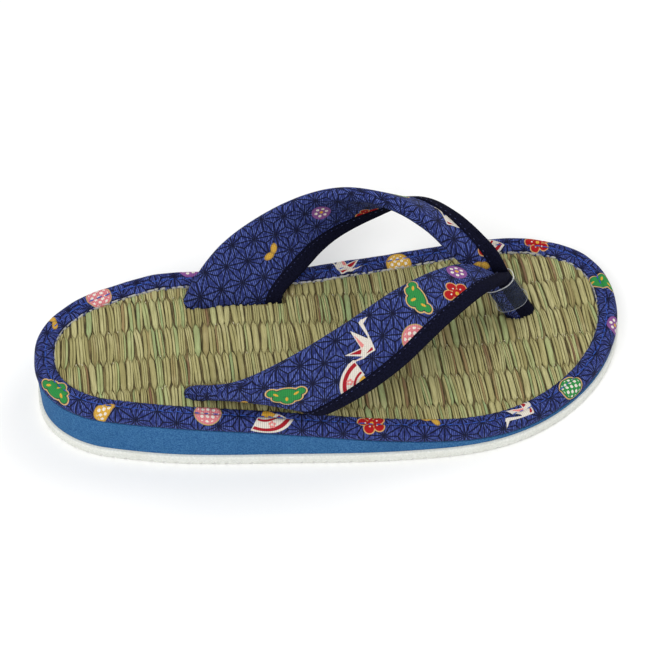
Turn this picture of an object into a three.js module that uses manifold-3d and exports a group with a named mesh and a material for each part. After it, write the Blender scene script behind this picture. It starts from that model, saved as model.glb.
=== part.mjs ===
// Zori sandal for the right foot: a foam wedge sole, a rush mat with a cloth covered rim,
// and two padded cloth straps that meet in a toe post with a clear sleeve round it.
// Millimetres, +X towards the toe, +Y towards the big toe side, +Z up. The tables below are
// written from the heel tip on the ground. The last group moves the origin to the middle of
// the underside of the whole sandal's box.
import * as THREE from 'three';
import Module from 'manifold-3d';
import { mergeVertices } from 'three/addons/utils/BufferGeometryUtils.js';

// Sole outline
const LENGTH = 245.6;
const HEEL_CAP = { reach: 27.0, power: 2.46 };
const TOE_CAP = { reach: 85.7, power: 2.2 };
const TOE_SWING = 15.15;
// Half widths at equal steps from the heel tip to the toe tip
const HALF_WIDTHS = [
  { outer: 24.0, inner: 23.6 },
  { outer: 38.0, inner: 37.9 },
  { outer: 45.1, inner: 37.8 },
  { outer: 50.9, inner: 44.7 },
  { outer: 55.6, inner: 49.5 },
  { outer: 57.0, inner: 51.9 },
];
const OUTLINE_STEPS = 44;
const WEDGE_STEPS = 24;

// Heights
const GAP = 0.3;
const OUTSOLE_THICK = 5.1;
const OUTSOLE_FLARE = 1.3;
const FOAM_HEEL = 17.8;
const FOAM_TOE = 1.9;
const WEDGE_START = 39;
const WEDGE_END = 198;
const RIM_TALL = 6.5;
const RIM_WIDE = 8.3;
const MAT_THICK = 4.5;

// Tread under the outsole and rows in the rush mat
const TREAD_PITCH = 5.0;
const TREAD_GROOVE = 1.8;
const TREAD_FLOOR = 0.7;
const TREAD_DEPTH = 0.8;
const ROW_PITCH = 15;
const ROW_CENTRE = -5.2;
const ROW_GROOVE = 2.4;
const ROW_DEPTH = 0.5;

// Straps. Each row holds the middle of the padded rear edge and the front edge.
const OUTER_ARM = [
  { rear: [61.5, -23.6, 19.5], front: [103.9, -26.0, 14.5] },
  { rear: [61.2, -25.2, 26.2], front: [104.3, -27.4, 21.9] },
  { rear: [78.2, -35.6, 40.2], front: [111.0, -42.0, 26.9] },
  { rear: [101.7, -33.9, 51.0], front: [124.0, -43.6, 35.0] },
  { rear: [125.0, -25.5, 57.8], front: [142.6, -38.8, 45.4] },
  { rear: [146.2, -12.5, 58.3], front: [162.2, -26.7, 53.2] },
  { rear: [165.3, 0.0, 52.4], front: [181.3, -11.3, 52.8] },
  { rear: [179.4, 8.2, 43.2], front: [194.0, 2.0, 42.5] },
];
const INNER_ARM = [
  { rear: [65.8, 22.4, 19.2], front: [104.0, 22.8, 14.4] },
  { rear: [65.5, 23.4, 26.1], front: [104.2, 23.8, 21.8] },
  { rear: [82.5, 40.4, 36.5], front: [114.0, 31.3, 26.9] },
  { rear: [108.9, 49.5, 46.9], front: [129.8, 45.9, 28.8] },
  { rear: [131.8, 47.9, 54.4], front: [149.3, 54.0, 32.4] },
  { rear: [151.0, 37.4, 57.8], front: [165.6, 50.8, 42.6] },
  { rear: [165.5, 25.2, 55.2], front: [178.6, 33.8, 50.3] },
  { rear: [177.7, 14.9, 45.0], front: [191.0, 17.1, 47.2] },
];
const BEAD_RADIUS = 3.0;
const EDGE_THICK = 2.8;
const BINDING_WIDE = 5.0;
const BINDING_SEAM = 0.5;
const EDGE_ROUND = 0.9;
const EDGE_BLUNT = 0.2;
const ARM_STEPS = 40;

// Toe post. Depths run down its leaning axis from the top of the clear sleeve.
const POST_TOP = [192.7, 11.2, 31.9];
const POST_LEAN = 0.47;
const POST_WIDE = 12.0;
const POST_THICK = 8.3;
const POST_OVAL = 2.4;
const POST_DEPTHS = [-1.5, 10, 21, 33];
const SLEEVE_LONG = 16.3;
const SLEEVE_WALL = 0.8;
const SLEEVE_SIDES = 28;

// Two halves of one solid overlap this much where they are joined
const JOIN = 0.05;

// How far a cutting shape runs past what it cuts, and past the whole sandal
const PAST = 1;
const PAST_ENDS = 20;
const FAR = 300;

const wasm = await Module();
wasm.setup();

// A smooth step from 0 to 1
const ease = (t) => THREE.MathUtils.smoothstep(t, 0, 1);
const mix = THREE.MathUtils.lerp;

// Height of the foam's upper face over the ground
const foamTop = (x) => OUTSOLE_THICK
  + mix(FOAM_HEEL, FOAM_TOE, THREE.MathUtils.smoothstep(x, WEDGE_START, WEDGE_END));

// Half width between the table's rows, as a smooth curve through them
function halfWidth(side, u) {
  const at = (i) => HALF_WIDTHS[i][side];
  const last = HALF_WIDTHS.length - 1;
  const before = (i) => (i < 0 ? 2 * at(0) - at(1) : at(i));
  const after = (i) => (i > last ? 2 * at(last) - at(last - 1) : at(i));
  const i = Math.min(Math.floor(u * last), last - 1);
  const f = u * last - i;
  const [a, b, c, d] = [before(i - 1), at(i), at(i + 1), after(i + 2)];
  return b + 0.5 * f * (c - a + f * (2 * a - 5 * b + 4 * c - d + f * (3 * (b - c) + d - a)));
}

// Share of the half width that is left where a superellipse closes the heel or the toe
function capShare(x) {
  const heel = Math.max(0, (HEEL_CAP.reach - x) / HEEL_CAP.reach);
  const toe = Math.max(0, (x - LENGTH + TOE_CAP.reach) / TOE_CAP.reach);
  return (1 - heel ** HEEL_CAP.power) ** (1 / HEEL_CAP.power)
    * (1 - Math.min(toe, 1) ** TOE_CAP.power) ** (1 / TOE_CAP.power);
}

// Sole outline from the heel along the outer side, round the toe and back, moved inward by inset
function soleOutline(inset) {
  const outer = [];
  const inner = [];
  for (let i = 0; i <= OUTLINE_STEPS; i++) {
    const u = (1 - Math.cos((Math.PI * i) / OUTLINE_STEPS)) / 2;
    const middle = TOE_SWING * Math.max(0, 2 * u - 1) ** 2;
    const share = capShare(u * LENGTH);
    outer.push(new THREE.Vector2(u * LENGTH, middle - halfWidth('outer', u) * share));
    inner.push(new THREE.Vector2(u * LENGTH, middle + halfWidth('inner', u) * share));
  }
  const ring = [...outer, ...inner.slice(1, -1).reverse()];
  const count = ring.length;
  return ring.map((point, i) => {
    const along = ring[(i + 1) % count].clone().sub(ring[(i + count - 1) % count]).normalize();
    return new THREE.Vector2(point.x - along.y * inset, point.y + along.x * inset);
  });
}

// A closed mesh: equal corners are merged, empty triangles dropped, and faces turned outward
function closedGeometry(positions, triangles) {
  const raw = new THREE.BufferGeometry();
  raw.setAttribute('position', new THREE.Float32BufferAttribute(positions, 3));
  raw.setIndex(triangles);
  const geometry = mergeVertices(raw, 1e-4);
  const corners = Array.from(geometry.index.array);
  const kept = [];
  const [a, b, c] = [new THREE.Vector3(), new THREE.Vector3(), new THREE.Vector3()];
  const place = geometry.attributes.position;
  let volume = 0;
  for (let i = 0; i < corners.length; i += 3) {
    const [p, q, r] = corners.slice(i, i + 3);
    if (p !== q && q !== r && r !== p) {
      kept.push(p, q, r);
      a.fromBufferAttribute(place, p);
      b.fromBufferAttribute(place, q);
      c.fromBufferAttribute(place, r);
      volume += a.dot(b.cross(c));
    }
  }
  geometry.setIndex(volume > 0 ? kept : kept.reverse());
  return geometry;
}

// Walls between equal closed sections. An open row of sections gets flat ends.
function loft(sections, closed = false) {
  const count = sections[0].length;
  const positions = sections.flat().flatMap((p) => [p.x, p.y, p.z]);
  const triangles = [];
  const spans = closed ? sections.length : sections.length - 1;
  for (let s = 0; s < spans; s++) {
    const here = s * count;
    const next = ((s + 1) % sections.length) * count;
    for (let i = 0; i < count; i++) {
      const j = (i + 1) % count;
      triangles.push(here + i, next + i, next + j, here + i, next + j, here + j);
    }
  }
  if (!closed) {
    const end = (sections.length - 1) * count;
    for (let i = 1; i < count - 1; i++) {
      triangles.push(0, i, i + 1, end, end + i + 1, end + i);
    }
  }
  return closedGeometry(positions, triangles);
}

// An upright prism on a flat outline
function prism(outline, low, high) {
  const shape = new THREE.Shape(outline);
  const geometry = new THREE.ExtrudeGeometry(shape, { depth: high - low, bevelEnabled: false });
  geometry.translate(0, 0, low);
  return closedGeometry(geometry.attributes.position.array,
    [...Array(geometry.attributes.position.count).keys()]);
}

function block(from, to) {
  const size = to.map((value, i) => value - from[i]);
  const geometry = new THREE.BoxGeometry(...size);
  geometry.translate(...to.map((value, i) => (value + from[i]) / 2));
  return closedGeometry(geometry.attributes.position.array, Array.from(geometry.index.array));
}

// A wide slab whose lower and upper faces follow heights along the foot
function slab(stations, low, high) {
  return loft(stations.map((x) => [
    new THREE.Vector3(x, -FAR, low(x)),
    new THREE.Vector3(x, FAR, low(x)),
    new THREE.Vector3(x, FAR, high(x)),
    new THREE.Vector3(x, -FAR, high(x)),
  ]));
}

function solid(geometry) {
  return new wasm.Manifold(new wasm.Mesh({
    numProp: 3,
    vertProperties: Float32Array.from(geometry.attributes.position.array),
    triVerts: Uint32Array.from(geometry.index.array),
  }));
}

function geometryOf(body) {
  const mesh = body.getMesh();
  const geometry = new THREE.BufferGeometry();
  geometry.setAttribute('position', new THREE.BufferAttribute(mesh.vertProperties, 3));
  geometry.setIndex(new THREE.BufferAttribute(mesh.triVerts, 1));
  return geometry;
}

// Even stations along the foot, past both ends, close together where the wedge bends
const WEDGE_STATIONS = [
  -PAST_ENDS,
  ...Array.from({ length: WEDGE_STEPS + 1 }, (_, i) => mix(WEDGE_START, WEDGE_END, i / WEDGE_STEPS)),
  LENGTH + PAST_ENDS,
];

// Rubber tread: cross ribs with a groove between each two, seen as notches along the lower edge
function outsoleSolid() {
  const stations = [-PAST_ENDS];
  const heights = [0];
  for (let x = TREAD_PITCH / 2; x < LENGTH; x += TREAD_PITCH) {
    stations.push(x - TREAD_GROOVE / 2, x - TREAD_FLOOR / 2, x + TREAD_FLOOR / 2, x + TREAD_GROOVE / 2);
    heights.push(0, TREAD_DEPTH, TREAD_DEPTH, 0);
  }
  stations.push(LENGTH + PAST_ENDS);
  heights.push(0);
  const top = OUTSOLE_THICK - GAP / 2;
  const ribs = slab(stations, (x) => heights[stations.indexOf(x)], () => top);
  return solid(prism(soleOutline(-OUTSOLE_FLARE), -PAST, OUTSOLE_THICK + PAST)).intersect(solid(ribs));
}

// Foam wedge: upright sides, flat underside, and a top that falls from the heel to the ball
function midsoleSolid() {
  const wedge = slab(WEDGE_STATIONS, () => OUTSOLE_THICK + GAP / 2, (x) => foamTop(x) - GAP / 2);
  return solid(prism(soleOutline(0), 0, FAR)).intersect(solid(wedge));
}

// Rounded cloth rim. Each profile row is a distance in from the outline and a height on the foam.
const RIM_PROFILE = [
  { inward: 0.1, up: GAP / 2 },
  { inward: -0.2, up: 2.4 },
  { inward: 0.4, up: 4.6 },
  { inward: 1.8, up: 6.0 },
  { inward: 4.0, up: RIM_TALL },
  { inward: 6.3, up: 6.1 },
  { inward: RIM_WIDE - 0.4, up: 5.0 },
  { inward: RIM_WIDE, up: GAP / 2 },
];
function rimGeometry() {
  const rings = RIM_PROFILE.map(({ inward, up }) => soleOutline(inward)
    .map((p) => new THREE.Vector3(p.x, p.y, foamTop(p.x) + up)));
  return loft(rings[0].map((_, i) => rings.map((ring) => ring[i])), true);
}

// Rush mat inside the rim: its rows of stems meet in shallow valleys along the foot
function matSolid(cutters) {
  const rows = [-2, -1, 0, 1, 2].map((row) => ROW_CENTRE + row * ROW_PITCH);
  const across = [{ y: -FAR, dip: 0 }];
  for (const y of rows) {
    across.push({ y: y - ROW_GROOVE, dip: 0 }, { y, dip: ROW_DEPTH }, { y: y + ROW_GROOVE, dip: 0 });
  }
  across.push({ y: FAR, dip: 0 });
  const pad = loft(WEDGE_STATIONS.map((x) => [
    ...across.map(({ y, dip }) => new THREE.Vector3(x, y, foamTop(x) + MAT_THICK - dip)),
    new THREE.Vector3(x, FAR, foamTop(x) + GAP / 2),
    new THREE.Vector3(x, -FAR, foamTop(x) + GAP / 2),
  ]));
  let mat = solid(prism(soleOutline(RIM_WIDE + GAP), 0, FAR)).intersect(solid(pad));
  for (const cutter of cutters) {
    mat = mat.subtract(cutter);
  }
  return mat;
}

// The toe post leans forward as it goes down
const POST_AXIS = new THREE.Vector3(Math.sin(POST_LEAN), 0, -Math.cos(POST_LEAN));
const POST_FRONT = new THREE.Vector3(Math.cos(POST_LEAN), 0, Math.sin(POST_LEAN));
const postPoint = (depth, forward, across) => new THREE.Vector3(...POST_TOP)
  .addScaledVector(POST_AXIS, depth)
  .addScaledVector(POST_FRONT, forward)
  .add(new THREE.Vector3(0, across, 0));

// One strap arm as a band: side is -1 for the outer arm and 1 for the inner one
function arm(rows, side) {
  const across = (side * POST_THICK) / 4;
  const rear = rows.map((row) => new THREE.Vector3(...row.rear));
  const front = rows.map((row) => new THREE.Vector3(...row.front));
  for (const depth of POST_DEPTHS) {
    rear.push(postPoint(depth, BEAD_RADIUS - POST_WIDE / 2, across));
    front.push(postPoint(depth, POST_WIDE / 2, across));
  }
  const turn = (rows.length - 1) / (rear.length - 1);
  const post = rows.length / (rear.length - 1);
  return {
    side,
    rear: new THREE.CatmullRomCurve3(rear),
    front: new THREE.CatmullRomCurve3(front),
    // 0 along the arm, 1 in the post
    inPost: (t) => ease((t - turn) / (post - turn)),
  };
}

// Half thickness of the padded band at a distance from the middle of its rear bead
function padHalf(s, width) {
  if (s < 0) {
    return Math.sqrt(Math.max(0, BEAD_RADIUS ** 2 - s ** 2));
  }
  return mix(BEAD_RADIUS, EDGE_THICK / 2, ease(s / (width - BINDING_WIDE)));
}

// Share of the full half thickness at the rounded front edge, which ends a little blunt
function edgeShare(s, width) {
  const over = Math.max(0, (s - width + EDGE_ROUND) / EDGE_ROUND);
  return Math.max(EDGE_BLUNT, Math.sqrt(Math.max(0, 1 - over ** 2)));
}

// Section of the band at t. Stations are distances from the bead's middle, given the width.
function armSection(band, t, stationsOf, grow) {
  const rear = band.rear.getPoint(t);
  const front = band.front.getPoint(t);
  const across = front.clone().sub(rear);
  const width = across.length();
  across.normalize();
  const tangent = band.rear.getTangent(t).add(band.front.getTangent(t)).normalize();
  const face = across.clone().cross(tangent).multiplyScalar(-band.side).normalize();
  const post = band.inPost(t);
  const centre = (width - BEAD_RADIUS) / 2;
  const radius = (width + BEAD_RADIUS) / 2;
  const upper = [];
  const lower = [];
  for (const s of stationsOf(width)) {
    const pad = padHalf(s, width) * edgeShare(s, width);
    const oval = Math.max(0, 1 - Math.abs((s - centre) / radius) ** POST_OVAL) ** (1 / POST_OVAL);
    const up = mix(pad, POST_THICK / 4 + GAP / 2, post) + grow;
    const down = mix(pad, (oval * POST_THICK) / 2 - POST_THICK / 4, post) + grow;
    const spread = s + grow * Math.sign(s - centre);
    const base = rear.clone().addScaledVector(across, spread);
    upper.push(base.clone().addScaledVector(face, up));
    lower.push(base.clone().addScaledVector(face, -down));
  }
  return [...upper, ...lower.reverse()];
}

// Stations of the printed pad, which stops short of the binding, and of the navy binding: shares
// of the bead's radius, of the flat pad and of the rounded edge
const BEAD_SHARES = [-1, -0.87, -0.5, 0];
const PAD_SHARES = [1 / 3, 2 / 3, 1];
const ROUND_SHARES = [1, 1 / 3, 0];
const padStations = (width) => [
  ...BEAD_SHARES.map((share) => share * BEAD_RADIUS),
  ...PAD_SHARES.map((share) => share * (width - BINDING_WIDE - BINDING_SEAM)),
];
const bindingStations = (width) => [
  width - BINDING_WIDE,
  ...ROUND_SHARES.map((share) => width - share * EDGE_ROUND),
];
const wholeStations = (width) => [...padStations(width), ...bindingStations(width)];

function armSolid(band, stationsOf, grow = 0) {
  const ts = Array.from({ length: ARM_STEPS + 1 }, (_, i) => i / ARM_STEPS);
  return solid(loft(ts.map((t) => armSection(band, t, stationsOf, grow))));
}

const outerBand = arm(OUTER_ARM, -1);
const innerBand = arm(INNER_ARM, 1);
const aboveFoam = solid(slab(WEDGE_STATIONS, (x) => foamTop(x) + GAP, () => FAR));

// The half of space on one side of the toe post's middle plane, moved apart by a distance
function halfSpace(side, apart) {
  const plane = POST_TOP[1] + side * apart;
  return solid(block([-FAR, side < 0 ? -FAR : plane, -FAR], [2 * FAR, side < 0 ? plane : FAR, FAR]));
}

// Both arms join in the toe post, so the strap is one solid
function strapSolid() {
  const halves = [outerBand, innerBand].map((band) => armSolid(band, padStations)
    .intersect(halfSpace(band.side, -JOIN)));
  return halves[0].add(halves[1]).intersect(aboveFoam);
}

// Tape folded over the front edge of one arm, down to the foot of the post
function bindingSolid(band) {
  return armSolid(band, bindingStations)
    .intersect(halfSpace(band.side, GAP))
    .intersect(aboveFoam);
}

// Clear sleeve round the post, an oval ring cut square at both ends
function sleeveGeometry() {
  const ring = (grow, depth) => Array.from({ length: SLEEVE_SIDES }, (_, i) => {
    const angle = (2 * Math.PI * i) / SLEEVE_SIDES;
    const round = (value) => Math.sign(value) * Math.abs(value) ** (2 / POST_OVAL);
    return postPoint(depth, round(Math.cos(angle)) * (POST_WIDE / 2 + grow),
      round(Math.sin(angle)) * (POST_THICK / 2 + grow));
  });
  const rings = [
    ring(GAP, 0), ring(GAP + SLEEVE_WALL, 0), ring(GAP + SLEEVE_WALL, SLEEVE_LONG), ring(GAP, SLEEVE_LONG),
  ];
  return loft(rings[0].map((_, i) => rings.map((points) => points[i])), true);
}

// The mat's slots and its post hole are a gap wider than the bands all round
const cutters = [outerBand, innerBand].map((band) => armSolid(band, wholeStations, GAP));

const PIECES = [
  { name: 'outsole', geometry: geometryOf(outsoleSolid()), color: 0xe6e7e1, roughness: 0.75 },
  { name: 'midsole', geometry: geometryOf(midsoleSolid()), color: 0x33689b, roughness: 0.9 },
  { name: 'rim', geometry: rimGeometry(), color: 0x3b459a, roughness: 0.85 },
  { name: 'rush_mat', geometry: geometryOf(matSolid(cutters)), color: 0xa7a273, roughness: 0.8 },
  { name: 'strap', geometry: geometryOf(strapSolid()), color: 0x4f5ca8, roughness: 0.85 },
  { name: 'binding_outer', geometry: geometryOf(bindingSolid(outerBand)), color: 0x0d1028, roughness: 0.8 },
  { name: 'binding_inner', geometry: geometryOf(bindingSolid(innerBand)), color: 0x0d1028, roughness: 0.8 },
  { name: 'post_sleeve', geometry: sleeveGeometry(), color: 0xd8dce0, roughness: 0.15 },
];

const sandal = new THREE.Group();
for (const { name, geometry, color, roughness } of PIECES) {
  geometry.computeVertexNormals();
  const material = new THREE.MeshStandardMaterial({ color, roughness, metalness: 0 });
  const mesh = new THREE.Mesh(geometry, material);
  mesh.name = name;
  sandal.add(mesh);
}

// The origin is the middle of the underside of the box round everything
const box = new THREE.Box3().setFromObject(sandal);
const middle = box.getCenter(new THREE.Vector3());
sandal.position.set(-middle.x, -middle.y, -box.min.z);

const group = new THREE.Group();
group.add(sandal);
export default group;
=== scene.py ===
"""Looks of a zori sandal for the right foot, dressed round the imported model.

Lengths in the tables are millimetres from the heel tip on the ground: +X to the toe, +Y to the
big toe side, +Z up. The function shell() turns them into the frame's metres.
"""

import bpy
import numpy as np
from mathutils import Matrix, Vector


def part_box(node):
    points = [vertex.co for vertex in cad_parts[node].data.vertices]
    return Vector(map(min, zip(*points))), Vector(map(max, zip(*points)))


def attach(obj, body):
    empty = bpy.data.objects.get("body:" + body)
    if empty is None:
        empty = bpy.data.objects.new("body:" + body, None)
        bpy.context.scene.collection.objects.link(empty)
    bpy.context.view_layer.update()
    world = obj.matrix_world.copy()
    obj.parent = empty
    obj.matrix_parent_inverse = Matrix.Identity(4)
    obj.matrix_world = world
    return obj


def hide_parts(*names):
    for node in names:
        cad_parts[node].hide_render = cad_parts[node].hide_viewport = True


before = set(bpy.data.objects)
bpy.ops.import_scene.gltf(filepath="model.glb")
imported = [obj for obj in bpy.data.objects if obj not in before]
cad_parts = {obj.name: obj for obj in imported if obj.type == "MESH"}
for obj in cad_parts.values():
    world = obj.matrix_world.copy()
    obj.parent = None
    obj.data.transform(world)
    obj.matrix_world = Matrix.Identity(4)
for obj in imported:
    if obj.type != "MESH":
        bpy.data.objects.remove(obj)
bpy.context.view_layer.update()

MM = 0.001
UPWARD = np.array([0.0, 0.0, 1.0])
random = np.random.default_rng(7)

# Sole outline and heights, as in the part's source
LENGTH = 245.6
HEEL_CAP = (27.0, 2.46)
TOE_CAP = (85.7, 2.2)
TOE_SWING = 15.15
HALF_WIDTHS = {
    "outer": [24.0, 38.0, 45.1, 50.9, 55.6, 57.0],
    "inner": [23.6, 37.9, 37.8, 44.7, 49.5, 51.9],
}
OUTLINE_POINTS = 1501
GAP = 0.3
OUTSOLE_THICK = 5.1
OUTSOLE_FLARE = 1.3
FOAM_HEEL = 17.8
FOAM_TOE = 1.9
WEDGE_START = 39.0
WEDGE_END = 198.0
TREAD_PITCH = 5.0
TREAD_GROOVE = 1.8
TREAD_DEPTH = 0.8

# Rim roll: distance in from the outline and height over the foam, from the outer foot, over the
# roll, down into the stitched groove and to the inner foot
RIM_ROLL = np.array([
    (0.5, 0.0), (0.1, 0.5), (-0.25, 1.8), (-0.2, 3.2), (0.5, 4.9), (1.6, 6.05), (2.8, 6.5),
    (3.8, 6.2), (4.6, 5.5), (5.5, 5.8), (6.7, 5.75), (7.8, 5.2), (8.3, 4.2), (8.3, 2.2), (8.3, 0.2),
])
RIM_STITCH_INWARD = 4.6
RIM_STITCH_UP = 5.55
RIM_WIDE = 8.3

# Rush mat
MAT_THICK = 4.5
ROW_PITCH = 15.0
ROW_CENTRE = -5.2
RIB_PITCH = 3.0

# Straps. Each row holds the middle of the padded rear edge and the front edge.
OUTER_ARM = [
    ((61.5, -23.6, 19.5), (103.9, -26.0, 14.5)),
    ((61.2, -25.2, 26.2), (104.3, -27.4, 21.9)),
    ((78.2, -35.6, 40.2), (111.0, -42.0, 26.9)),
    ((101.7, -33.9, 51.0), (124.0, -43.6, 35.0)),
    ((125.0, -25.5, 57.8), (142.6, -38.8, 45.4)),
    ((146.2, -12.5, 58.3), (162.2, -26.7, 53.2)),
    ((165.3, 0.0, 52.4), (181.3, -11.3, 52.8)),
    ((179.4, 8.2, 43.2), (194.0, 2.0, 42.5)),
]
INNER_ARM = [
    ((65.8, 22.4, 19.2), (104.0, 22.8, 14.4)),
    ((65.5, 23.4, 26.1), (104.2, 23.8, 21.8)),
    ((82.5, 40.4, 36.5), (114.0, 31.3, 26.9)),
    ((108.9, 49.5, 46.9), (129.8, 45.9, 28.8)),
    ((131.8, 47.9, 54.4), (149.3, 54.0, 32.4)),
    ((151.0, 37.4, 57.8), (165.6, 50.8, 42.6)),
    ((165.5, 25.2, 55.2), (178.6, 33.8, 50.3)),
    ((177.7, 14.9, 45.0), (191.0, 17.1, 47.2)),
]
BEAD_RADIUS = 3.0
EDGE_THICK = 2.8
BINDING_WIDE = 5.0
EDGE_ROUND = 0.9
EDGE_BLUNT = 0.2

# Toe post
POST_TOP = np.array([192.7, 11.2, 31.9])
POST_LEAN = 0.47
POST_WIDE = 12.0
POST_THICK = 8.3
POST_OVAL = 2.4
POST_DEPTHS = [-1.5, 10.0, 21.0, 33.0]
SLEEVE_LONG = 16.3
SLEEVE_WALL = 0.8
POST_AXIS = np.array([np.sin(POST_LEAN), 0.0, -np.cos(POST_LEAN)])
POST_FRONT = np.array([np.cos(POST_LEAN), 0.0, np.sin(POST_LEAN)])


def ease(t):
    """Smooth step from 0 to 1: three t squared less two t cubed."""
    t = np.clip(t, 0.0, 1.0)
    return t * t * (3 - 2 * t)


def mix(a, b, t):
    """Straight blend from a to b."""
    return a + (b - a) * t


def bunched(count):
    """Shares from 0 to 1, closest together at both ends: half of one less a cosine."""
    return (1 - np.cos(np.linspace(0, np.pi, count))) / 2


def unit(vectors):
    """Vectors over their own length."""
    return vectors / np.linalg.norm(vectors, axis=-1, keepdims=True)


def lengths(points):
    """Distance along a line of points, from the first to each."""
    return np.concatenate([[0], np.cumsum(np.linalg.norm(np.diff(points, axis=0), axis=1))])


def spline(points, t):
    """Centripetal Catmull-Rom curve through points, for t from 0 to 1."""
    points = np.asarray(points, float)
    held = np.vstack([2 * points[0] - points[1], points, 2 * points[-1] - points[-2]])
    last = len(points) - 1
    at = np.clip(t, 0, 1) * last
    i = np.minimum(at.astype(int), last - 1)
    w = (at - i)[:, None]
    p0, p1, p2, p3 = (held[i + k] for k in range(4))
    d0, d1, d2 = (np.sqrt(np.linalg.norm(b - a, axis=1))[:, None] for a, b in ((p0, p1), (p1, p2), (p2, p3)))
    m1 = ((p1 - p0) / d0 - (p2 - p0) / (d0 + d1) + (p2 - p1) / d1) * d1
    m2 = ((p2 - p1) / d1 - (p3 - p1) / (d1 + d2) + (p3 - p2) / d2) * d1
    return p1 + m1 * w + (3 * (p2 - p1) - 2 * m1 - m2) * w ** 2 + (2 * (p1 - p2) + m1 + m2) * w ** 3


def foam_top(x):
    """Height of the foam's upper face: level at the heel and the toe, a smooth step between."""
    return OUTSOLE_THICK + mix(FOAM_HEEL, FOAM_TOE, ease((x - WEDGE_START) / (WEDGE_END - WEDGE_START)))


def half_width(side, u):
    """Uniform Catmull-Rom curve through the half widths at equal steps from heel to toe."""
    rows = np.array(HALF_WIDTHS[side])
    rows = np.concatenate([[2 * rows[0] - rows[1]], rows, [2 * rows[-1] - rows[-2]]])
    last = len(rows) - 3
    i = np.minimum((u * last).astype(int), last - 1)
    f = u * last - i
    a, b, c, d = (rows[i + k] for k in range(4))
    return b + 0.5 * f * (c - a + f * (2 * a - 5 * b + 4 * c - d + f * (3 * (b - c) + d - a)))


def cap_share(x):
    """Share of the half width left where a superellipse closes the heel and the toe."""
    share = 1.0
    for past, (reach, power) in ((HEEL_CAP[0] - x, HEEL_CAP), (x - LENGTH + TOE_CAP[0], TOE_CAP)):
        over = np.clip(past / reach, 0, 1)
        share = share * np.maximum(0, 1 - over ** power) ** (1 / power)
    return share


def dense_ring():
    """The sole outline: from the heel tip along the outer side, round the toe and back."""
    u = bunched(OUTLINE_POINTS)
    middle = TOE_SWING * np.maximum(0, 2 * u - 1) ** 2
    share = cap_share(u * LENGTH)
    outer = np.column_stack([u * LENGTH, middle - half_width("outer", u) * share])
    inner = np.column_stack([u * LENGTH, middle + half_width("inner", u) * share])
    return np.vstack([outer, inner[-2:0:-1]])


def even_ring(count):
    """The outline at equal steps of its length, with the inward direction there and its length."""
    ring = dense_ring()
    loop = np.vstack([ring, ring[:1]])
    length = lengths(loop)
    at = np.arange(count) * length[-1] / count
    points = np.column_stack([np.interp(at, length, loop[:, k]) for k in (0, 1)])
    along = unit(np.roll(points, -1, axis=0) - np.roll(points, 1, axis=0))
    return points, np.column_stack([-along[:, 1], along[:, 0]]), length[-1]


def sides(inset, x):
    """The outline moved inward, at x: x held between its tips, and y of its outer and inner side."""
    points, inward, _ = even_ring(1600)
    ring = points + inset * inward
    toe = int(np.argmax(ring[:, 0]))
    x = np.clip(x, ring[:, 0].min(), ring[:, 0].max())
    outer = np.interp(x, np.maximum.accumulate(ring[:toe + 1, 0]), ring[:toe + 1, 1])
    back = np.vstack([ring[toe:], ring[:1]])[::-1]
    inner = np.interp(x, np.maximum.accumulate(back[:, 0]), back[:, 1])
    return x, outer, inner


# The frame's origin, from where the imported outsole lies
low_corner = np.array(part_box("outsole")[0]) / MM
_, outer_side, _ = sides(-OUTSOLE_FLARE, np.linspace(0, LENGTH, 400))
SHIFT = np.array([low_corner[0] + OUTSOLE_FLARE, low_corner[1] - outer_side.min(), 0.0])


def put(name, data):
    """A new object in the scene, at the origin."""
    item = bpy.data.objects.new(name, data)
    bpy.context.scene.collection.objects.link(item)
    return item


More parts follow.
